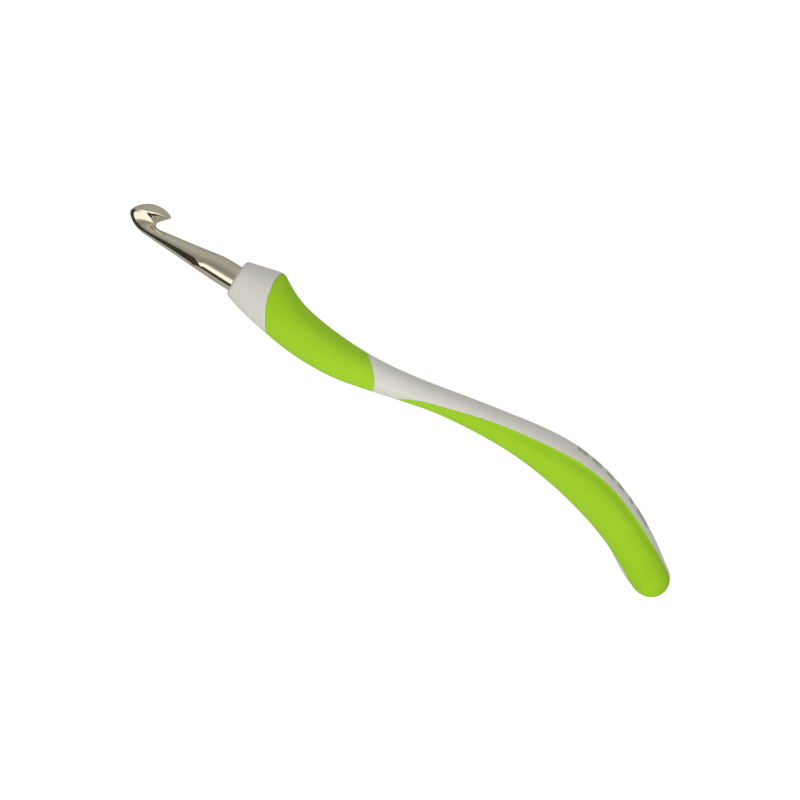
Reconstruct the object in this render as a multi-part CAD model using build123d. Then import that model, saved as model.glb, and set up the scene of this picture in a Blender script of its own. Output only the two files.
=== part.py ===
from build123d import *
import os
from math import cos, pi, radians, sin

# Crochet hook for a 6.5 mm gauge: a metal hook moulded into a hard plastic handle with two soft grips.
# Millimetres. The origin is the middle of the collar's front face, on the shank's axis.
# +X runs back along the handle to its tail, +Y is the side that the hook's mouth opens to (the dorsal
# side, where the thumb lies), and everything is a mirror image about z = 0.

# Metal hook
GAUGE = 6.5                    # shank diameter, which is the hook's stated size
SHANK_RADIUS = GAUGE / 2
SHANK_END_X = 11.0             # the full diameter ends here, inside the handle
GROOVES_X = (3.5, 6.5)         # ring grooves in the shank that the core is moulded into
GROOVE_WIDTH = 1.2
GROOVE_DEPTH = 0.45
TANG_RADIUS = 2.1
TANG_START = Vector(8, 0, 0)
TANG_END = Vector(33, -3.3, 0)  # cranked down, so that the tang stays in the middle of the grip
TANG_FLAT_HEIGHT = 2.8         # across the two flats that stop it turning
TANG_FLAT_LENGTH = 9.0
TANG_HOLE_RADIUS = 0.8

# Each row joins a point on the back outline to one on the mouth outline, with half of the width there.
# The rows run down the tapered neck, turn about the throat like the spokes of a fan, and end in the lip.
HOOK_ROWS = [
    ((-3, -3.25), (-3, 3.25), 3.25),
    ((-5.5, -3.22), (-5.5, 3.1), 3.22),
    ((-8, -3.13), (-8, 2.68), 3.12),
    ((-11, -3.02), (-11, 2.14), 2.98),
    ((-15, -2.88), (-15, 1.48), 2.85),
    ((-18.5, -2.75), (-18.5, 0.92), 2.75),
    ((-21.3, -2.66), (-21.0, 0.5), 2.6),
    ((-23.6, -2.56), (-22.1, 0.36), 2.5),
    ((-25.6, -2.4), (-22.75, 0.45), 2.4),
    ((-27.4, -1.95), (-23.05, 0.7), 2.32),
    ((-29.0, -1.05), (-23.25, 1.02), 2.55),
    ((-30.2, 0.45), (-23.25, 1.3), 2.87),
    ((-29.85, 1.85), (-23.1, 1.63), 3.1),
    ((-28.8, 3.2), (-22.85, 1.96), 3.18),
    ((-27.0, 4.48), (-22.5, 2.4), 3.1),
    ((-24.9, 5.08), (-22.08, 2.84), 2.7),
    ((-23.0, 5.05), (-21.63, 3.36), 2.0),
    ((-21.75, 4.75), (-21.3, 3.74), 1.1),
]
LIP_END = (-21.0, 4.25)
NECK_LAST_ROW = 9              # the row where the neck's skin meets the tip's
TIP_LAST_ROW = 13              # the row where the tip's skin meets the lip's

# Handle outline from the side, from the collar to the last full section before the rounded end
DORSAL = [(0, 5.1), (3, 5.85), (6, 6.65), (8.2, 7.2), (9.4, 7.25), (10.6, 6.65), (12.4, 5.65), (15, 4.4),
          (19, 3.2), (26, 2.2), (36, 1.85), (48, 3.0), (60, 5.3), (75, 8.15), (90, 9.8), (101, 8.35),
          (111, 4.8), (119, 0.35), (124.3, -3.3)]
VENTRAL = [(0, -4.3), (5, -5.75), (12, -7.05), (18, -7.85), (25, -8.15), (34, -7.35), (41, -5.75),
           (48, -4.0), (58, -1.75), (68, -0.62), (78, -0.3), (90, -1.4), (102, -4.0), (112, -7.75),
           (116.5, -10.25), (120, -11.85)]
# Half of the handle's width at each share of its length
HALF_WIDTH = [(0.0, 4.9), (0.07, 6.3), (0.17, 6.8), (0.27, 6.0), (0.37, 4.4), (0.46, 4.4),
              (0.6, 5.5), (0.74, 6.5), (0.88, 6.5), (1.0, 5.9)]
SQUARENESS = 2.25              # 2 gives elliptical sections, more gives squarer ones
TAIL_CAP_LENGTH = 5.3          # how far the rounded end reaches past the last full section
COLLAR_EDGE_RADIUS = 0.7
RELIEF = 0.15                  # narrow relief round the shank at the collar's face
RELIEF_DEPTH = 0.4
BODY_SECTIONS = 48
CAP_ANGLES = (15, 30, 45, 60, 72, 82)
SECTION_POINTS = 16

# Soft grips and the lines where they meet the hard plastic, seen from the side
SOFT_THICKNESS = 1.4
FRONT_SEAM = [(9.9, 9.5), (8.5, 6.3), (8.6, 3.2), (9.3, 0.2), (10.9, -3.6), (14.6, -9.5)]
REAR_SEAM = [(33.2, 4.5), (37.3, 1.0), (40.5, -2.0), (42.0, -5.0), (42.4, -8.5)]
TAIL_SEAM = [(44, -6.6), (50, -2.8), (60, 0.8), (71, 3.75), (82, 5.6), (92, 6.55), (101, 5.85),
             (111, 2.65), (120, -1.65), (125.6, -4.9), (130, -8.0)]
KEY_RADIUS = 1.2               # studs of soft plastic that lock the grips into holes in the core
FRONT_KEYS = [(19, -6.2), (27, -6.4), (35, -5.4)]
TAIL_KEYS = [(74, 2.8), (86, 2.6), (98, 0.8), (108, -2.4)]

# Oval size badge let into the underside of the tail, placed by the middle of its outer face
BADGE_FACE = Vector(115.3, -9.67, 0)
BADGE_SLOPE = -29.0
BADGE_LENGTH = 8.0
BADGE_WIDTH = 3.8
BADGE_THICKNESS = 1.3

# Printed bars along the dorsal strip: where each starts and ends
BARS_X = [(90.4, 93.6), (94.8, 97.9), (99.4, 102.0), (103.1, 105.2), (107.4, 108.7), (110.4, 114.6)]
BAR_WIDTH = 7.6
BAR_SLANT = 14
PRINT_DEPTH = 0.25
TOOL_REACH = 12.0              # half-size of cutting tools, more than the handle's half-width


def smooth(points):
    """Smooth curve through (x, y) points."""
    return Edge.make_spline([Vector(x, y, 0) for x, y in points])


def rounded(value, squareness):
    """Sine or cosine, bent towards a squarer section."""
    return (1 if value > 0 else -1) * abs(value) ** (2 / squareness)


def section(top, low, half_width, squareness=2.0):
    """Closed rounded section in the plane that holds Z and the line from low to top."""
    centre = (top + low) / 2
    half_height = (top - low) / 2
    side = Vector(0, 0, half_width)
    angles = [2 * pi * i / SECTION_POINTS for i in range(SECTION_POINTS)]
    points = [
        centre + half_height * rounded(cos(a), squareness) + side * rounded(sin(a), squareness)
        for a in angles
    ]
    steps = [i / SECTION_POINTS for i in range(SECTION_POINTS + 1)]
    return Face(Wire(Edge.make_spline(points, periodic=True, parameters=steps)))


def handle_body(inset=0.0):
    """The handle's outer shape, or the shape that lies inset deep inside it."""
    dorsal = smooth(DORSAL)
    ventral = smooth(VENTRAL)
    shares = [share for share, _ in HALF_WIDTH]
    widths = Edge.make_spline([Vector(share, width, 0) for share, width in HALF_WIDTH], parameters=shares)
    sections = []
    for i in range(BODY_SECTIONS + 1):
        share = i / BODY_SECTIONS
        top = dorsal @ share
        low = ventral @ share
        inward = (low - top).normalized() * inset
        half_width = (widths @ share).Y
        sections.append(section(top + inward, low - inward, half_width - inset, SQUARENESS))
    return loft(sections + tail_cap(top + inward, low - inward, half_width - inset, inset))


def tail_cap(top, low, half_width, inset):
    """Sections that close the tail like the end of an egg, and its end point."""
    middle = (top + low) / 2
    half_height = (top - low) / 2
    axis = half_height.normalized().cross(Vector(0, 0, 1)) * (TAIL_CAP_LENGTH - inset)
    sections = []
    for degrees in CAP_ANGLES:
        centre = middle + axis * sin(radians(degrees))
        reach = half_height * cos(radians(degrees))
        width = half_width * cos(radians(degrees))
        sections.append(section(centre + reach, centre - reach, width, SQUARENESS))
    return sections + [Vertex(*(middle + axis))]


def side_prism(*curves):
    """Tool that runs right through the handle in Z, inside an outline made of the curves."""
    edges = []
    for points in curves:
        edges.append(smooth(points) if len(points) > 2 else Edge.make_line(*points))
    for i in range(len(edges)):
        edges.append(Edge.make_line(edges[i] @ 1, edges[(i + 1) % len(curves)] @ 0))
    outline = Wire(edges)
    return extrude(Face(outline), TOOL_REACH, dir=(0, 0, 1), both=True)


def hook_blank():
    """Head, throat, neck and round shank, in three spans because the rows turn past a right angle."""
    circles = [((x, -SHANK_RADIUS), (x, SHANK_RADIUS), SHANK_RADIUS) for x in (SHANK_END_X, 7, 3, 0)]
    sections = [section(Vector(*mouth), Vector(*back), width) for back, mouth, width in circles + HOOK_ROWS]
    sections.append(Vertex(*LIP_END, 0))
    neck_end = len(circles) + NECK_LAST_ROW
    tip_end = len(circles) + TIP_LAST_ROW
    spans = [sections[:neck_end + 1], sections[neck_end:tip_end + 1], sections[tip_end:]]
    return Part() + [loft(span) for span in spans]


def tang():
    """Thin cranked end of the shank, with two flats and a cross hole that the core locks into."""
    along = (TANG_END - TANG_START).normalized()
    place = Plane(origin=TANG_START, x_dir=(0, 0, 1), z_dir=along)
    length = (TANG_END - TANG_START).length
    rod = place * Cylinder(TANG_RADIUS, length, align=(Align.CENTER, Align.CENTER, Align.MIN))
    rod = chamfer(rod.edges().sort_by(Axis.X)[-1], 0.6)
    flat_place = place * Pos(0, 0, length - TANG_FLAT_LENGTH / 2 - 3)
    room = flat_place * Box(TANG_FLAT_HEIGHT, 3 * TANG_RADIUS, TANG_FLAT_LENGTH)
    around = flat_place * Box(3 * TANG_RADIUS, 3 * TANG_RADIUS, TANG_FLAT_LENGTH)
    hole = flat_place * Rot(0, 90, 0) * Cylinder(TANG_HOLE_RADIUS, 3 * TANG_RADIUS)
    return rod - (around - room) - hole


def hook():
    """The metal hook with its hidden grooves and tang."""
    metal = hook_blank() + tang()
    for x in GROOVES_X:
        ring = Cylinder(2 * SHANK_RADIUS, GROOVE_WIDTH) - Cylinder(SHANK_RADIUS - GROOVE_DEPTH, GROOVE_WIDTH)
        metal -= Pos(x, 0, 0) * Rot(0, 90, 0) * ring
    return metal


def keys(places):
    """Round studs of soft plastic that pass through the core from side to side."""
    return [Pos(x, y, 0) * Cylinder(KEY_RADIUS, TOOL_REACH) for x, y in places]


def badge():
    """Flat oval badge, standing just proud of the underside."""
    place = Pos(*BADGE_FACE) * Rot(0, 0, BADGE_SLOPE) * Rot(-90, 0, 0)
    return extrude(place * Ellipse(BADGE_LENGTH / 2, BADGE_WIDTH / 2), BADGE_THICKNESS)


def printed_bars(body):
    """Slanted bars let into the dorsal strip, as thin solids that follow its surface."""
    bars = []
    for start, end in BARS_X:
        block = Box(end - start, TOOL_REACH, BAR_WIDTH, align=(Align.CENTER, Align.MIN, Align.CENTER))
        slab = body & Pos((start + end) / 2, 0, 0) * Rot(0, BAR_SLANT, 0) * block
        bars.append(slab - Pos(0, -PRINT_DEPTH, 0) * slab)
    return bars


def make_pieces():
    """Every piece of the hook, by name."""
    body = handle_body()
    body = fillet(body.faces().sort_by(Axis.X)[0].edges(), COLLAR_EDGE_RADIUS)
    relief = Rot(0, 90, 0) * Cylinder(SHANK_RADIUS + RELIEF, 2 * RELIEF_DEPTH)
    inner = handle_body(SOFT_THICKNESS)
    skin = body - inner
    front_zone = side_prism(FRONT_SEAM, REAR_SEAM[::-1])
    tail_zone = side_prism(TAIL_SEAM, [(TAIL_SEAM[-1][0] + 4, -20), (TAIL_SEAM[0][0], -20)])

    metal = hook()
    size_badge = badge()
    marks = printed_bars(body)
    front_grip = (skin & front_zone) + [inner & key for key in keys(FRONT_KEYS)]
    tail_grip = (skin & tail_zone) + [inner & key for key in keys(TAIL_KEYS)] - size_badge
    core = body - relief - front_grip - tail_grip - metal - size_badge - marks
    return {"hook": metal, "handle_core": core, "front_grip": front_grip, "tail_grip": tail_grip,
            "size_badge": size_badge, "size_marks": Compound(children=marks)}


os.makedirs("parts", exist_ok=True)
for name, piece in make_pieces().items():
    export_step(piece, f"parts/{name}.step")
    print(name, round(piece.volume, 1), piece.is_valid, len(piece.solids()))
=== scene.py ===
"""Looks, light and camera for a crochet hook: a metal hook in a white handle with two soft green grips.

Lengths are in millimetres until a mesh is made. The origin is the middle of the collar's front face.
+X runs back along the handle to its tail, +Y is the side that the hook's mouth opens to, and every piece
is a mirror image about z = 0. A handle point is found by its share of the handle's length and its angle
round the section, from 0 at the dorsal edge to pi at the ventral edge.
"""
from math import pi, radians, tan

import bmesh
import bpy
import numpy as np
from mathutils import Matrix, Vector


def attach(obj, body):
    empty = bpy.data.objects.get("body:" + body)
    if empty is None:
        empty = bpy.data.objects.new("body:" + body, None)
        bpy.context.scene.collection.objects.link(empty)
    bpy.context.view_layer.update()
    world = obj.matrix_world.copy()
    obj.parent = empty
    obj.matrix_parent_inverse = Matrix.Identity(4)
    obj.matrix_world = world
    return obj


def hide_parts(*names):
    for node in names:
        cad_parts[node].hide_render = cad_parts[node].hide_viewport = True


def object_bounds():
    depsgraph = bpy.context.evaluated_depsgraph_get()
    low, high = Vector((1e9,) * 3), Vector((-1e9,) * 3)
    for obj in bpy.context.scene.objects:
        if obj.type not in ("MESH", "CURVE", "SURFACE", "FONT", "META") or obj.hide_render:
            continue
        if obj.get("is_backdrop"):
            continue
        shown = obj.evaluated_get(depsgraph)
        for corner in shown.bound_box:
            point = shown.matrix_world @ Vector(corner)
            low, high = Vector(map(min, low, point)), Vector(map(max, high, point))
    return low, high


MM = 0.001

# Metal hook. Each row: back point, mouth point, half width, where the crease lies between the two points,
# how hollow the side is from there to the mouth, and how far the round section has become a pressed one.
HOOK_ROWS = [
    ((8, -3.25), (8, 3.25), 3.25, 0.41, 0.0, 0.0),
    ((2, -3.25), (2, 3.25), 3.25, 0.41, 0.0, 0.0),
    ((-3, -3.25), (-3, 3.25), 3.25, 0.35, 0.0, 0.0),
    ((-5.5, -3.22), (-5.5, 3.1), 3.22, 0.28, 0.0, 0.0),
    ((-8, -3.13), (-8, 2.68), 3.12, 0.16, 0.0, 0.0),
    ((-11, -3.02), (-11, 2.14), 2.98, 0.41, 0.0, 1.0),
    ((-15, -2.88), (-15, 1.48), 2.85, 0.42, 0.0, 1.0),
    ((-18.5, -2.75), (-18.5, 0.92), 2.75, 0.41, 0.0, 1.0),
    ((-21.3, -2.66), (-21.0, 0.5), 2.6, 0.39, 0.0, 1.0),
    ((-23.6, -2.56), (-22.1, 0.36), 2.5, 0.36, 0.0, 1.0),
    ((-25.6, -2.4), (-22.75, 0.45), 2.36, 0.33, 0.0, 1.0),
    ((-27.4, -1.95), (-23.05, 0.7), 2.24, 0.27, 0.05, 1.0),
    ((-29.0, -1.05), (-23.25, 1.02), 2.45, 0.2, 0.1, 1.0),
    ((-30.2, 0.45), (-23.25, 1.3), 2.93, 0.18, 0.12, 1.0),
    ((-29.85, 1.85), (-23.1, 1.63), 3.1, 0.25, 0.15, 1.0),
    ((-28.8, 3.2), (-22.85, 1.96), 3.18, 0.45, 0.2, 1.0),
    ((-27.0, 4.48), (-22.5, 2.4), 3.1, 0.58, 0.2, 1.0),
    ((-24.9, 5.08), (-22.08, 2.84), 2.7, 0.68, 0.15, 1.0),
    ((-23.0, 5.05), (-21.63, 3.36), 2.0, 0.8, 0.1, 1.0),
    ((-21.75, 4.75), (-21.3, 3.74), 1.1, 0.8, 0.0, 1.0),
]
LIP_END = (-21.0, 4.25)
FACET_START = 0.42             # the back facet starts this far up towards the crease
FACET_TILT = 36                # how far the back facet is turned from the side of the hook
HOOK_STEPS = 260

# Handle outline from the side
DORSAL = [(0, 5.1), (3, 5.85), (6, 6.65), (8.2, 7.2), (9.4, 7.25), (10.6, 6.65), (12.4, 5.65), (15, 4.4),
          (19, 3.2), (26, 2.2), (36, 1.85), (48, 3.0), (60, 5.3), (75, 8.15), (90, 9.8), (101, 8.35),
          (111, 4.8), (119, 0.35), (124.3, -3.3)]
VENTRAL = [(0, -4.3), (5, -5.75), (12, -7.05), (18, -7.85), (25, -8.15), (34, -7.35), (41, -5.75),
           (48, -4.0), (58, -1.75), (68, -0.62), (78, -0.3), (90, -1.4), (102, -4.0), (112, -7.75),
           (116.5, -10.25), (120, -11.85)]
HALF_WIDTH = [(0.0, 4.9), (0.07, 6.3), (0.17, 6.8), (0.27, 6.0), (0.37, 4.4), (0.46, 4.4),
              (0.6, 5.5), (0.74, 6.5), (0.88, 6.5), (1.0, 5.9)]
SQUARENESS = 2.25              # 2 gives elliptical sections, more gives squarer ones
HANDLE_LENGTH = 128.0          # along the handle's middle, to turn small distances into shares
TAIL_CAP_LENGTH = 5.3
TAIL_END = 1.05                # shares from 1 to this one run over the rounded tail
COLLAR_EDGE_RADIUS = 0.7
RELIEF_RADIUS = 3.4
RELIEF_DEPTH = 0.4

# Lines where the soft grips meet the hard plastic, seen from the side
FRONT_SEAM = [(9.9, 9.5), (8.5, 6.3), (8.6, 3.2), (9.3, 0.2), (10.9, -3.6), (14.6, -9.5)]
REAR_SEAM = [(33.2, 4.5), (37.3, 1.0), (40.5, -2.0), (42.0, -5.0), (42.4, -8.5)]
TAIL_SEAM = [(44, -6.6), (50, -2.8), (60, 0.8), (71, 3.75), (82, 5.6), (92, 6.55), (101, 5.85),
             (111, 2.65), (120, -1.65), (125.6, -4.9), (130, -8.0)]
SOFT_THICKNESS = 1.4
GRIP_PLAY = 0.03               # clearance that keeps the grips' hidden faces off the core's
SEAM_EDGE = 0.14               # radius of the moulded edges that meet in each seam
STRIP_LINES = 26               # lengthwise mesh lines from the dorsal edge to the tail seam
GRIP_LINES = 40                # and from there to the ventral edge
GUTTER_DEPTH = 0.35            # shallow hollow that runs along the tail grip, below its seam
GUTTER_BOTTOM = 0.5            # how far below the seam it is deepest
GUTTER_WIDTH = 3.4             # how far below the seam it ends

# Size badge on the underside of the tail, and printed bars along the dorsal strip
BADGE_FACE = Vector((115.3, -9.67, 0))
BADGE_SLOPE = -29.0
BADGE_LENGTH = 8.0
BADGE_WIDTH = 3.8
BADGE_THICKNESS = 1.3
BADGE_EDGE = 0.25
NUMBER_HEIGHT = 2.2
BARS_X = [(90.4, 93.6), (94.8, 97.9), (99.4, 102.0), (103.1, 105.2), (107.4, 108.7), (110.4, 114.6)]
BAR_WIDTH = 7.6
BAR_SLANT = 14
PRINT_PROUD = 0.03

# Camera: straight down on the object's side
VIEW_ROLL = 32.1               # the handle runs down to the right by this many degrees
LENS = 110
SENSOR = 36
OBJECT_SHARE = 0.6745          # the object's width as a share of the picture's
OBJECT_DROP = 0.12             # the object lies this far below the picture's middle


# ---------------------------------------------------------------- curves

def cubic(knots, values):
    """Natural cubic spline through the values at increasing knots, as a function."""
    knots = np.array(knots, float)
    values = np.array(values, float)
    gaps = np.diff(knots)
    system = np.eye(len(knots))
    bends = np.zeros(len(knots))
    for i in range(1, len(knots) - 1):
        system[i, i - 1:i + 2] = gaps[i - 1], 2 * (gaps[i - 1] + gaps[i]), gaps[i]
        slopes = np.diff(values[i - 1:i + 2]) / gaps[i - 1:i + 1]
        bends[i] = 6 * (slopes[1] - slopes[0])
    bends = np.linalg.solve(system, bends)

    def at(place):
        i = np.clip(np.searchsorted(knots, place) - 1, 0, len(gaps) - 1)
        after = (place - knots[i]) / gaps[i]
        before = 1 - after
        bend = (before ** 3 - before) * bends[i] + (after ** 3 - after) * bends[i + 1]
        return before * values[i] + after * values[i + 1] + bend * gaps[i] ** 2 / 6

    return at


def outline(points):
    """Smooth curve through (x, y) points, as a function of its share from 0 to 1."""
    points = np.array(points, float)
    steps = np.linalg.norm(np.diff(points, axis=0), axis=1)
    knots = np.concatenate([[0], np.cumsum(steps)]) / steps.sum()
    along_x = cubic(knots, points[:, 0])
    along_y = cubic(knots, points[:, 1])
    return lambda share: np.stack([along_x(share), along_y(share)], -1)


def crossing(height, low, high):
    """Where height, which falls from low to high, passes zero: for every item of an array at once."""
    for _ in range(40):
        middle = (low + high) / 2
        above = height(middle) > 0
        low = np.where(above, middle, low)
        high = np.where(above, high, middle)
    return (low + high) / 2


def ramp(value, start, end):
    """0 up to start, 1 from end on, and smooth between them."""
    share = np.clip((value - start) / (end - start), 0, 1)
    return share * share * (3 - 2 * share)


# ---------------------------------------------------------------- the handle's skin

dorsal = outline(DORSAL)
ventral = outline(VENTRAL)
half_width = cubic(*zip(*HALF_WIDTH))
front_seam_x = cubic(*zip(*[(y, x) for x, y in FRONT_SEAM[::-1]]))
rear_seam_x = cubic(*zip(*[(y, x) for x, y in REAR_SEAM[::-1]]))
tail_seam_y = cubic(*zip(*TAIL_SEAM))


def rounded(value):
    """Sine or cosine, bent towards a squarer section."""
    return np.sign(value) * np.abs(value) ** (2 / SQUARENESS)


def skin(share, angle, depth=0.0):
    """Points of the handle's skin, or points that lie depth under it."""
    along = np.minimum(share, 1)
    turn = np.maximum(share - 1, 0) / (TAIL_END - 1) * pi / 2
    top = dorsal(along)
    low = ventral(along)
    length = np.linalg.norm(top - low, axis=-1)
    up = (top - low) / length[..., None]
    ahead = np.stack([up[..., 1], -up[..., 0]], -1)
    reach = (TAIL_CAP_LENGTH - depth) * np.sin(turn)
    height = (length / 2 - depth) * np.cos(turn) * rounded(np.cos(angle))
    side = (half_width(along) - depth) * np.cos(turn) * rounded(np.sin(angle))
    flat = (top + low) / 2 + ahead * reach[..., None] + up * height[..., None]
    return np.concatenate([flat, side[..., None]], -1)


def above_tail_seam(share):
    """How far points of the section lie above the tail seam, as a function of their angle."""
    def height(angle):
        points = skin(share, angle)
        drop = points[..., 1] - tail_seam_y(points[..., 0])
        return np.where(points[..., 0] < TAIL_SEAM[0][0], 1, drop)
    return height


SEAM_SHARES = np.linspace(0, TAIL_END, 1600)
SEAM_ANGLES = crossing(above_tail_seam(SEAM_SHARES), np.zeros(1600), np.full(1600, pi))


def seam_angle(share):
    """Angle of the tail seam: pi ahead of the tail grip, and 0 where the grip has closed over the strip."""
    return np.interp(share, SEAM_SHARES, SEAM_ANGLES)


def line_angle(share, line):
    """Angle of a lengthwise mesh line, given as (strip part, grip part, seam edges towards the strip).

    The lines spread evenly round the front of the handle and gather at the seam along the tail.
    """
    strip_part, grip_part, edges = line
    even = pi * STRIP_LINES / (STRIP_LINES + GRIP_LINES)
    edge = even + (seam_angle(share) - even) * ramp(share, 0.12, 0.34)
    edge_angle = np.minimum(SEAM_EDGE / half_width(np.minimum(share, 1)), edge / 3)
    return edge * strip_part + (pi - edge) * grip_part - edge_angle * edges


def seam_share(seam_x, line, low, high):
    """Share at which a lengthwise line meets the front or rear seam."""
    def height(share):
        points = skin(share, line_angle(share, line))
        return seam_x(points[..., 1]) - points[..., 0]
    start = np.full_like(line[0], low)
    return crossing(height, start, np.full_like(start, high))


# ---------------------------------------------------------------- meshes

def new_piece(name, points, faces, sharp=35):
    """Piece from points in millimetres, with doubled points merged and sharp corners kept."""
    mesh = bpy.data.meshes.new(name)
    mesh.from_pydata([tuple(p) for p in np.reshape(points, (-1, 3)) * MM], [], faces)
    work = bmesh.new()
    work.from_mesh(mesh)
    bmesh.ops.remove_doubles(work, verts=work.verts, dist=2e-7)
    bmesh.ops.dissolve_degenerate(work, edges=work.edges, dist=1e-7)
    bmesh.ops.recalc_face_normals(work, faces=work.faces)
    work.to_mesh(mesh)
    work.free()
    mesh.shade_smooth()
    mesh.set_sharp_from_angle(angle=radians(sharp))
    piece = bpy.data.objects.new(name, mesh)
    bpy.context.scene.collection.objects.link(piece)
    return piece


def ring_faces(count, size, closed=False):
    """Faces between successive rings of points. If closed, the last ring also joins the first."""
    faces = []
    for i in range(count if closed else count - 1):
        row = i * size
        after = (i + 1) % count * size
        for j in range(size):
            k = (j + 1) % size
            faces.append((row + j, row + k, after + k, after + j))
    return faces


def both_sides(half):
    """Full rings from half rings that run from the dorsal edge round to the ventral edge."""
    mirrored = half[:, -2:0:-1] * (1, 1, -1)
    return np.concatenate([half, mirrored], 1)


def core_lines():
    """The core's lengthwise lines: over the strip, down the seam's edge, then under the grip."""
    lines = [(k / STRIP_LINES, 0, k / STRIP_LINES, 0) for k in range(STRIP_LINES + 1)]
    lines += [(1, 0, 0.3, 0.3 * SEAM_EDGE), (1, 0, 0, SEAM_EDGE)]
    lines += [(1, k / GRIP_LINES, 0, SOFT_THICKNESS) for k in range(GRIP_LINES + 1)]
    return np.array(lines, float).T


def handle_core():
    """Hard white plastic: collar, waist, dorsal strip, and the body hidden under the grips."""
    *line, line_depth = core_lines()
    front = seam_share(front_seam_x, line, 0.02, 0.2)
    rear = seam_share(rear_seam_x, line, 0.2, 0.42)
    edge = SEAM_EDGE / HANDLE_LENGTH
    rim = COLLAR_EDGE_RADIUS / HANDLE_LENGTH
    rows = []
    for turn in np.linspace(pi / 2, 0, 7):
        rows.append((rim * (1 - np.sin(turn)) + 0 * front, COLLAR_EDGE_RADIUS * (1 - np.cos(turn))))
    for t in np.linspace(0, 1, 16)[1:]:
        rows.append((rim + (front - edge - rim) * t, 0))
    rows += [(front - 0.3 * edge, 0.3 * SEAM_EDGE), (front, SEAM_EDGE)]
    for t in np.linspace(0, 1, 24):
        rows.append((front + (rear - front) * t, SOFT_THICKNESS))
    rows += [(rear, SEAM_EDGE), (rear + 0.3 * edge, 0.3 * SEAM_EDGE)]
    for t in np.linspace(0, 1, 240):
        rows.append((rear + edge + (TAIL_END - rear - edge) * t, 0))
    shares = np.array([share for share, _ in rows])
    row_depth = np.array([[depth] for _, depth in rows])

    under = ramp(pi - seam_angle(shares), 0.0, 0.15)
    sunk = 1 - ramp(seam_angle(shares), 0.0, 0.02)
    depth = np.maximum(row_depth, line_depth * under)
    depth = np.maximum(depth, SOFT_THICKNESS * sunk)
    body = skin(shares, line_angle(shares, line), depth)
    ends = collar_face(body[0])
    rings = both_sides(np.concatenate([ends, body]))
    return new_piece("core_moulding", rings, ring_faces(*rings.shape[:2]))


def collar_face(rim):
    """Half rings from the middle of the collar's face, through the relief round the shank, to its rim."""
    flat = rim[:, 1:]
    hole = flat / np.linalg.norm(flat, axis=1)[:, None] * RELIEF_RADIUS
    rings = []
    for x, inner in ((RELIEF_DEPTH, 0 * hole), (RELIEF_DEPTH, hole)):
        rings.append(np.column_stack([np.full(len(rim), x), inner]))
    for t in np.linspace(0, 1, 5)[:-1]:
        rings.append(np.column_stack([np.zeros(len(rim)), hole + (flat - hole) * t]))
    return np.array(rings)


def front_grip():
    """Soft sleeve round the front of the handle."""
    angles = np.linspace(0, 1, STRIP_LINES + GRIP_LINES + 1)
    split = STRIP_LINES / (STRIP_LINES + GRIP_LINES)
    line = [np.minimum(angles / split, 1), np.maximum(angles - split, 0) / (1 - split), 0 * angles]
    front = seam_share(front_seam_x, line, 0.02, 0.2)
    rear = seam_share(rear_seam_x, line, 0.2, 0.42)
    edge = SEAM_EDGE / HANDLE_LENGTH
    hidden = SOFT_THICKNESS - GRIP_PLAY
    rows = [(front, SEAM_EDGE), (front + 0.3 * edge, 0.3 * SEAM_EDGE)]
    for t in np.linspace(0, 1, 80):
        rows.append((front + edge + (rear - front - 2 * edge) * t, 0))
    rows += [(rear - 0.3 * edge, 0.3 * SEAM_EDGE), (rear, SEAM_EDGE)]
    for t in np.linspace(1, 0, 24):
        rows.append((front + (rear - front) * t, hidden))
    shares = np.array([share for share, _ in rows])
    depth = np.array([[depth] for _, depth in rows])
    rings = both_sides(skin(shares, line_angle(shares, line), depth))
    return new_piece("front_grip_sleeve", rings, ring_faces(*rings.shape[:2], closed=True))


def gutter(share, angle):
    """Depth of the hollow below the tail seam: a short upper wall and a long lower one."""
    along = np.minimum(share, 1)
    below = (angle - seam_angle(share)) * half_width(along)
    across = ramp(below, 0, GUTTER_BOTTOM) * (1 - ramp(below, GUTTER_BOTTOM, GUTTER_WIDTH))
    return GUTTER_DEPTH * across * ramp(share, 0.5, 0.68) * (1 - ramp(share, 0.92, 0.99))


def tail_grip():
    """Soft grip under and round the tail, with a channel along its back for the white strip."""
    lines = [(k / STRIP_LINES, 0, 0, SOFT_THICKNESS - GRIP_PLAY) for k in range(STRIP_LINES + 1)]
    lines += [(1, 0, 0, SEAM_EDGE), (1, 0, -0.3, 0.3 * SEAM_EDGE)]
    lines += [(1, k / GRIP_LINES, k / GRIP_LINES - 1, 0) for k in range(GRIP_LINES + 1)]
    *line, line_depth = np.array(lines, float).T
    start = SEAM_SHARES[np.argmax(SEAM_ANGLES < pi - 0.02)]
    shares = start + (TAIL_END - start) * np.linspace(0, 1, 260)[:, None] + 0 * line[0]
    channel = ramp(seam_angle(shares), 0.02, 0.4)
    angles = line_angle(shares, line)
    depth = line_depth * channel + gutter(shares, angles)
    rings = both_sides(skin(shares, angles, depth))
    first = np.broadcast_to(rings[0].mean(0), rings[0].shape)
    rings = np.concatenate([first[None], rings])
    return new_piece("tail_grip_moulding", rings, ring_faces(*rings.shape[:2]))


# ---------------------------------------------------------------- the metal hook

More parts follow.
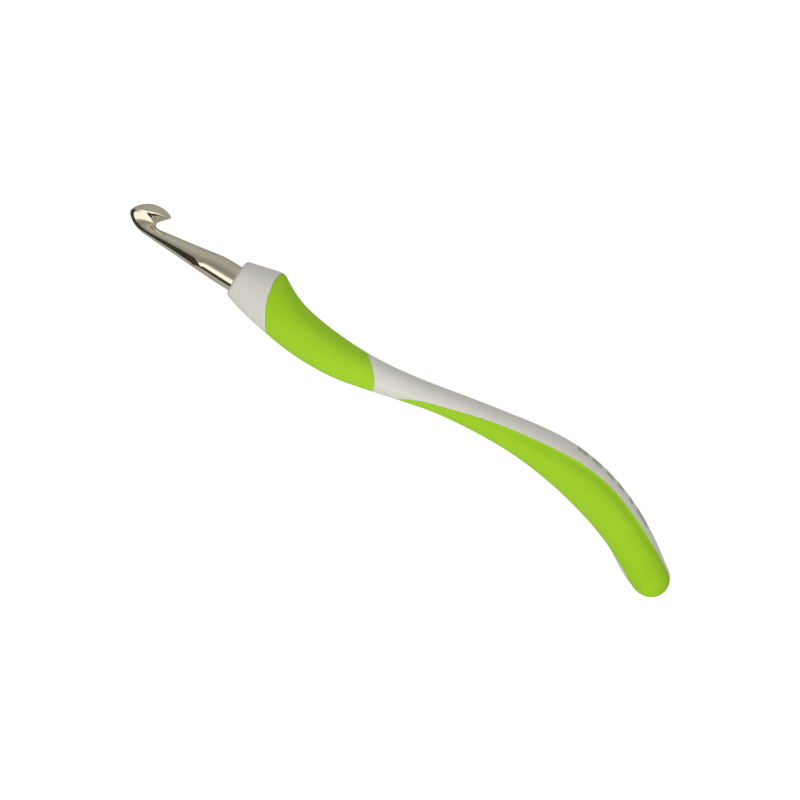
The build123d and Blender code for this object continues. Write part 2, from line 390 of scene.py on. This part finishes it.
def hook_section(crease, hollow, pressed, slimness):
    """Half section from the back to the mouth: (how far up, half width) pairs, as shares from 0 to 1.

    A round back, a flat facet up to the crease, and then a side that rounds over into the mouth.
    Slimness is the section's height over its half width.
    """
    back = np.linspace(0, 1, 10)[:-1]
    facet = np.linspace(0, 1, 5)[:-1]
    side = np.linspace(0, 1, 26)
    facet_up = crease * FACET_START
    facet_out = max(1 - tan(radians(FACET_TILT)) * (crease - facet_up) * slimness, 0.5)
    back_up = facet_up * (1 - np.cos(back * 1.2)) / (1 - np.cos(1.2))
    back_out = facet_out * np.sin(back * 1.2) / np.sin(1.2)
    side_up = np.sin(side * pi / 2)
    side_out = np.cos(side * pi / 2) * (1 - hollow * side_up)
    up = np.concatenate([back_up, facet_up + (crease - facet_up) * facet, crease + (1 - crease) * side_up])
    out = np.concatenate([back_out, facet_out + (1 - facet_out) * facet, side_out])
    round_out = 2 * np.sqrt(np.maximum(up * (1 - up), 0))
    return up, round_out + (out - round_out) * pressed


def metal_hook():
    """Head, throat, neck and shank, swept along the rows like the spokes of a fan."""
    back = np.array([row[0] for row in HOOK_ROWS], float)
    mouth = np.array([row[1] for row in HOOK_ROWS], float)
    middle = (back + mouth) / 2 + (back - mouth) / 6
    knots = np.concatenate([[0], np.cumsum(np.linalg.norm(np.diff(middle, axis=0), axis=1))])
    columns = [cubic(knots, values) for values in (*back.T, *mouth.T, [row[2] for row in HOOK_ROWS])]
    rings = []
    for place in np.linspace(0, knots[-1], HOOK_STEPS):
        back_x, back_y, mouth_x, mouth_y, half = [column(place) for column in columns]
        shape = [np.interp(place, knots, [row[k] for row in HOOK_ROWS]) for k in (3, 4, 5)]
        up, out = hook_section(*shape, np.hypot(mouth_x - back_x, mouth_y - back_y) / half)
        rings.append(np.column_stack([
            back_x + (mouth_x - back_x) * up, back_y + (mouth_y - back_y) * up, half * out]))
    first = np.broadcast_to(rings[0].mean(0) * (1, 1, 0), rings[0].shape)
    last = np.broadcast_to((*LIP_END, 0), rings[0].shape)
    rings = both_sides(np.array([first, *rings, last]))
    return new_piece("metal_hook", rings, ring_faces(*rings.shape[:2]), sharp=14)


# ---------------------------------------------------------------- badge and printed bars

def badge_place():
    """Badge frame: x along the handle, z out of the badge's face, origin in the middle of that face."""
    turn = Matrix.Rotation(radians(BADGE_SLOPE), 4, "Z") @ Matrix.Rotation(radians(90), 4, "X")
    return Matrix.Translation(BADGE_FACE * MM) @ turn


def size_badge():
    """Oval plate with a softened edge."""
    angles = np.linspace(0, 2 * pi, 72, endpoint=False)
    profile = [(1.0, BADGE_THICKNESS, 0), (0.0, BADGE_THICKNESS, 0), (0.0, BADGE_EDGE, 0)]
    profile += [(0, BADGE_EDGE * (1 - np.sin(t)), BADGE_EDGE * (1 - np.cos(t))) for t in (0.5, 1.0, pi / 2)]
    profile += [(0.35, 0, 0), (1.0, 0, 0)]
    rings = []
    for inward, down, inset in profile:
        length = (BADGE_LENGTH / 2 - inset) * (1 - inward)
        width = (BADGE_WIDTH / 2 - inset) * (1 - inward)
        rings.append(np.column_stack([length * np.cos(angles), width * np.sin(angles), 0 * angles - down]))
    piece = new_piece("size_badge_plate", np.array(rings), ring_faces(len(rings), len(angles)))
    piece.data.transform(badge_place())
    return piece


def badge_number():
    """The size as a raised number, 6.5 for the shank's millimetres."""
    text = bpy.data.curves.new("badge_number", "FONT")
    text.body = "6.5"
    text.size = NUMBER_HEIGHT * MM
    text.align_x = "CENTER"
    text.align_y = "CENTER"
    text.extrude = 0.06 * MM
    draft = bpy.data.objects.new("badge_number_draft", text)
    bpy.context.scene.collection.objects.link(draft)
    bpy.context.view_layer.update()
    mesh = bpy.data.meshes.new_from_object(draft.evaluated_get(bpy.context.evaluated_depsgraph_get()))
    bpy.data.objects.remove(draft)
    mesh.name = "badge_number"
    mesh.transform(badge_place())
    piece = bpy.data.objects.new("badge_number", mesh)
    bpy.context.scene.collection.objects.link(piece)
    return piece


def printed_bar(number, start, end):
    """Slanted bar of print that follows the dorsal strip, a little proud of it."""
    across = np.linspace(-1, 1, 17)
    lengthways = np.linspace(0, 1, 13)
    near = crossing(lambda s: start - dorsal(s)[..., 0], np.array(0.5), np.array(1.0))
    far = crossing(lambda s: end - dorsal(s)[..., 0], np.array(0.5), np.array(1.0))
    slant = tan(radians(BAR_SLANT)) * BAR_WIDTH / 2 / HANDLE_LENGTH
    half = half_width(near)
    angles = np.sign(across) * np.arcsin(np.abs(across * BAR_WIDTH / 2 / half) ** (SQUARENESS / 2))
    shares = near + (far - near) * lengthways[:, None] + slant * across
    sheets = [skin(shares, angles + 0 * shares, depth) for depth in (-PRINT_PROUD, PRINT_PROUD)]
    upper, lower = sheets
    rings = np.concatenate([upper, lower[:, ::-1]], 1)
    ends = [np.broadcast_to(ring.mean(0), ring.shape) for ring in (rings[0], rings[-1])]
    rings = np.array([ends[0], *rings, ends[1]])
    return new_piece(f"size_mark_{number}", rings, ring_faces(*rings.shape[:2]))


# ---------------------------------------------------------------- materials

def new_material(name, colour, roughness, **sockets):
    """Principled material with plain values on the shader's own sockets."""
    material = bpy.data.materials.new(name)
    material.use_nodes = True
    shader = material.node_tree.nodes["Principled BSDF"]
    shader.inputs["Base Color"].default_value = (*colour, 1)
    shader.inputs["Roughness"].default_value = roughness
    for socket, value in sockets.items():
        shader.inputs[socket.replace("_", " ")].default_value = value
    return material


def noise(material, scale, detail=3.0, stretch=(1, 1, 1)):
    """Noise from 0 to 1 in the object's own frame. Scale is in waves per metre."""
    nodes = material.node_tree.nodes
    links = material.node_tree.links
    place = nodes.new("ShaderNodeTexCoord")
    mapping = nodes.new("ShaderNodeMapping")
    mapping.inputs["Scale"].default_value = stretch
    texture = nodes.new("ShaderNodeTexNoise")
    texture.inputs["Scale"].default_value = scale
    texture.inputs["Detail"].default_value = detail
    links.new(place.outputs["Object"], mapping.inputs["Vector"])
    links.new(mapping.outputs["Vector"], texture.inputs["Vector"])
    return texture.outputs["Fac"]


def vary_colour(material, factor, dark, light, spread=(0.35, 0.65)):
    """Colour that runs from dark to light with the factor."""
    ramp_node = material.node_tree.nodes.new("ShaderNodeValToRGB")
    for stop, place, colour in zip(ramp_node.color_ramp.elements, spread, (dark, light)):
        stop.position = place
        stop.color = (*colour, 1)
    material.node_tree.links.new(factor, ramp_node.inputs["Fac"])
    shader = material.node_tree.nodes["Principled BSDF"]
    material.node_tree.links.new(ramp_node.outputs["Color"], shader.inputs["Base Color"])


def vary_roughness(material, factor, low, high):
    """Roughness that runs from low to high with the factor."""
    spread = material.node_tree.nodes.new("ShaderNodeMapRange")
    spread.inputs["From Min"].default_value = 0.3
    spread.inputs["From Max"].default_value = 0.7
    spread.inputs["To Min"].default_value = low
    spread.inputs["To Max"].default_value = high
    material.node_tree.links.new(factor, spread.inputs["Value"])
    shader = material.node_tree.nodes["Principled BSDF"]
    material.node_tree.links.new(spread.outputs["Result"], shader.inputs["Roughness"])


def add_bump(material, *layers):
    """Bump from (factor, height in millimetres) layers."""
    normal = None
    for factor, height in layers:
        bump = material.node_tree.nodes.new("ShaderNodeBump")
        bump.inputs["Distance"].default_value = height * MM
        material.node_tree.links.new(factor, bump.inputs["Height"])
        if normal:
            material.node_tree.links.new(normal, bump.inputs["Normal"])
        normal = bump.outputs["Normal"]
    shader = material.node_tree.nodes["Principled BSDF"]
    material.node_tree.links.new(normal, shader.inputs["Normal"])


def polished_metal():
    """Nickel-plated steel, drawn along its length and worn a little dull in patches."""
    material = new_material("polished_metal", (0.94, 0.85, 0.67), 0.12, Metallic=1.0)
    patches = noise(material, 160)
    drawn = noise(material, 900, 2, (0.06, 1, 1))
    vary_colour(material, patches, (0.90, 0.82, 0.63), (0.96, 0.895, 0.71))
    vary_roughness(material, drawn, 0.08, 0.17)
    add_bump(material, (drawn, 0.004))
    return material


def hard_plastic():
    """Moulded white plastic with a satin polish."""
    material = new_material("white_plastic", (0.62, 0.6, 0.54), 0.36, Specular_IOR_Level=0.45)
    vary_colour(material, noise(material, 45), (0.685, 0.665, 0.59), (0.72, 0.70, 0.625))
    vary_roughness(material, noise(material, 700), 0.3, 0.34)
    add_bump(material, (noise(material, 2600, 2), 0.003), (noise(material, 70, 1), 0.02))
    return material


def soft_plastic():
    """Matt green rubbery plastic with a fine mould grain."""
    material = new_material("green_grip", (0.33, 0.62, 0.02), 0.5, Specular_IOR_Level=0.22)
    vary_colour(material, noise(material, 38), (0.33, 0.60, 0.013), (0.365, 0.65, 0.023))
    vary_roughness(material, noise(material, 500), 0.48, 0.62)
    add_bump(material, (noise(material, 3200, 2), 0.012), (noise(material, 90), 0.04))
    return material


def badge_plastic():
    """Paler hard plastic of the size badge."""
    material = new_material("badge_plastic", (0.7, 0.69, 0.64), 0.34)
    vary_colour(material, noise(material, 260), (0.66, 0.65, 0.6), (0.72, 0.71, 0.66))
    vary_roughness(material, noise(material, 900), 0.3, 0.42)
    add_bump(material, (noise(material, 2600, 2), 0.005))
    return material


def print_ink():
    """Thin grey-green ink, worn through a little."""
    material = new_material("print_ink", (0.38, 0.42, 0.29), 0.5)
    vary_colour(material, noise(material, 3000, 4), (0.34, 0.38, 0.28), (0.46, 0.49, 0.38))
    vary_roughness(material, noise(material, 800), 0.42, 0.6)
    add_bump(material, (noise(material, 3000, 2), 0.006))
    return material


# ---------------------------------------------------------------- stage, light and camera

def floor(level):
    """Plain pale floor that the object lies on."""
    size = 1.5
    mesh = bpy.data.meshes.new("floor")
    corners = [(-size, -size, level), (size, -size, level), (size, size, level), (-size, size, level)]
    mesh.from_pydata(corners, [], [(0, 1, 2, 3)])
    piece = bpy.data.objects.new("floor", mesh)
    bpy.context.scene.collection.objects.link(piece)
    material = new_material("floor_paint", (0.5, 0.5, 0.5), 0.9, Specular_IOR_Level=0.0)
    shader = material.node_tree.nodes["Principled BSDF"]
    shader.inputs["Emission Color"].default_value = (1, 1, 1, 1)
    shader.inputs["Emission Strength"].default_value = 0.8
    piece.data.materials.append(material)
    piece.visible_glossy = False
    piece.visible_diffuse = False
    piece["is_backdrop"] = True


def soft_light(name, place, aim, size, power, colour=(1, 1, 1)):
    """Square soft box at a place, aimed at a point, both in metres. It doesn't show in reflections."""
    lamp = bpy.data.lights.new(name, "AREA")
    lamp.size = size
    lamp.energy = power
    lamp.color = colour
    box = bpy.data.objects.new(name, lamp)
    box.location = place
    box.rotation_euler = (Vector(aim) - Vector(place)).to_track_quat("-Z", "Y").to_euler()
    box.visible_glossy = False
    bpy.context.scene.collection.objects.link(box)


def studio_world():
    """Pale surroundings, seen in reflections as bands round the X axis and a dark gap ahead of the hook."""
    world = bpy.data.worlds.new("studio")
    bpy.context.scene.world = world
    world.use_nodes = True
    nodes = world.node_tree.nodes
    links = world.node_tree.links
    place = nodes.new("ShaderNodeTexCoord")
    split = nodes.new("ShaderNodeSeparateXYZ")
    turn = nodes.new("ShaderNodeMath")
    turn.operation = "ARCTAN2"
    spread = nodes.new("ShaderNodeMapRange")
    spread.inputs["From Min"].default_value = -pi
    spread.inputs["From Max"].default_value = pi
    bands = nodes.new("ShaderNodeValToRGB")
    fill_bands(bands.color_ramp)
    ahead = nodes.new("ShaderNodeVectorMath")
    ahead.operation = "DOT_PRODUCT"
    ahead.inputs[1].default_value = (-0.9, -0.42, 0)
    near = nodes.new("ShaderNodeMapRange")
    near.inputs["From Min"].default_value = 0.55
    near.inputs["From Max"].default_value = 0.68
    gap = nodes.new("ShaderNodeMix")
    gap.data_type = "RGBA"
    gap.inputs["B"].default_value = (0.04, 0.04, 0.04, 1)
    path = nodes.new("ShaderNodeLightPath")
    pale = nodes.new("ShaderNodeMix")
    pale.data_type = "RGBA"
    pale.inputs["A"].default_value = (0.44, 0.44, 0.44, 1)
    plain = nodes.new("ShaderNodeMix")
    plain.data_type = "RGBA"
    plain.inputs["B"].default_value = (1, 1, 1, 1)
    links.new(place.outputs["Generated"], split.inputs["Vector"])
    links.new(split.outputs["Y"], turn.inputs[0])
    links.new(split.outputs["Z"], turn.inputs[1])
    links.new(turn.outputs["Value"], spread.inputs["Value"])
    links.new(spread.outputs["Result"], bands.inputs["Fac"])
    links.new(place.outputs["Generated"], ahead.inputs[0])
    links.new(ahead.outputs["Value"], near.inputs["Value"])
    links.new(bands.outputs["Color"], gap.inputs["A"])
    links.new(near.outputs["Result"], gap.inputs["Factor"])
    links.new(gap.outputs["Result"], pale.inputs["B"])
    links.new(path.outputs["Is Glossy Ray"], pale.inputs["Factor"])
    links.new(pale.outputs["Result"], plain.inputs["A"])
    links.new(path.outputs["Is Camera Ray"], plain.inputs["Factor"])
    links.new(plain.outputs["Result"], nodes["Background"].inputs["Color"])


def fill_bands(colour_ramp):
    """Brightness of the surroundings by degrees from straight up, positive towards +Y."""
    bands = [(-180, 0.34), (-95, 0.42), (-82, 0.03), (-64, 0.03), (-57, 1.1), (-28, 1.1), (-21, 0.33),
             (0, 0.28), (5, 0.2), (12, 0.28), (35, 0.33), (60, 0.42), (110, 0.36), (180, 0.25)]
    elements = colour_ramp.elements
    while len(elements) < len(bands):
        elements.new(0.5)
    for element, (degrees, value) in zip(elements, bands):
        element.position = degrees / 360 + 0.5
        element.color = (value, value, value, 1)


def camera(pieces):
    """Long lens that looks straight down, turned so that the handle runs down to the right."""
    right = Vector((np.cos(radians(VIEW_ROLL)), np.sin(radians(VIEW_ROLL)), 0))
    up = Vector((-right.y, right.x, 0))
    corners = [vertex.co for piece in pieces for vertex in piece.data.vertices]
    across = [corner.dot(right) for corner in corners]
    upright = [corner.dot(up) for corner in corners]
    middle = right * (min(across) + max(across)) / 2
    middle += up * ((min(upright) + max(upright)) / 2 + OBJECT_DROP * MM)
    picture_width = (max(across) - min(across)) / OBJECT_SHARE
    data = bpy.data.cameras.new("camera")
    data.lens = LENS
    data.sensor_width = SENSOR
    data.clip_end = 10
    seen_from = bpy.data.objects.new("camera", data)
    seen_from.location = middle + Vector((0, 0, picture_width * LENS / SENSOR))
    seen_from.rotation_euler = (0, 0, radians(VIEW_ROLL))
    bpy.context.scene.collection.objects.link(seen_from)
    bpy.context.scene.camera = seen_from


# ---------------------------------------------------------------- build

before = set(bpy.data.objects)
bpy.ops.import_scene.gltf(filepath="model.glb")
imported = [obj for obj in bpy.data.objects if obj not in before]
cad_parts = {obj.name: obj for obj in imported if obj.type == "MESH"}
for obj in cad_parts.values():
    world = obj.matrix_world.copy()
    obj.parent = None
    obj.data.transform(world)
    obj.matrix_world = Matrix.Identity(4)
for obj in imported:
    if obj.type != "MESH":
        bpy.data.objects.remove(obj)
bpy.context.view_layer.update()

green = soft_plastic()
ink = print_ink()
pale_plastic = badge_plastic()
built = [
    (metal_hook(), polished_metal(), "metal", ["hook"]),
    (handle_core(), hard_plastic(), "hard_plastic", ["handle_core"]),
    (front_grip(), green, "soft_grip", ["front_grip"]),
    (tail_grip(), green, "soft_grip", ["tail_grip"]),
    (size_badge(), pale_plastic, "badge_plastic", ["size_badge"]),
    (badge_number(), ink, "print", []),
]
for number, (start, end) in enumerate(BARS_X, 1):
    built.append((printed_bar(number, start, end), ink, "print", ["size_marks"]))
for piece, material, slot, nodes in built:
    piece.data.materials.clear()
    piece.data.materials.append(material)
    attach(piece, "root")
    if nodes:
        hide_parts(*nodes)

floor(min(corner[2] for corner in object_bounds()))
aim = (0.05, 0, 0)
soft_light("key", (0.22, -0.7, 0.58), aim, 0.7, 5.6)
soft_light("fill", (0.2, 0.75, 0.6), aim, 0.8, 2.9, (0.9, 0.95, 1.0))
studio_world()
camera([piece for piece, *_ in built])
bpy.context.scene.view_settings.view_transform = "Standard"
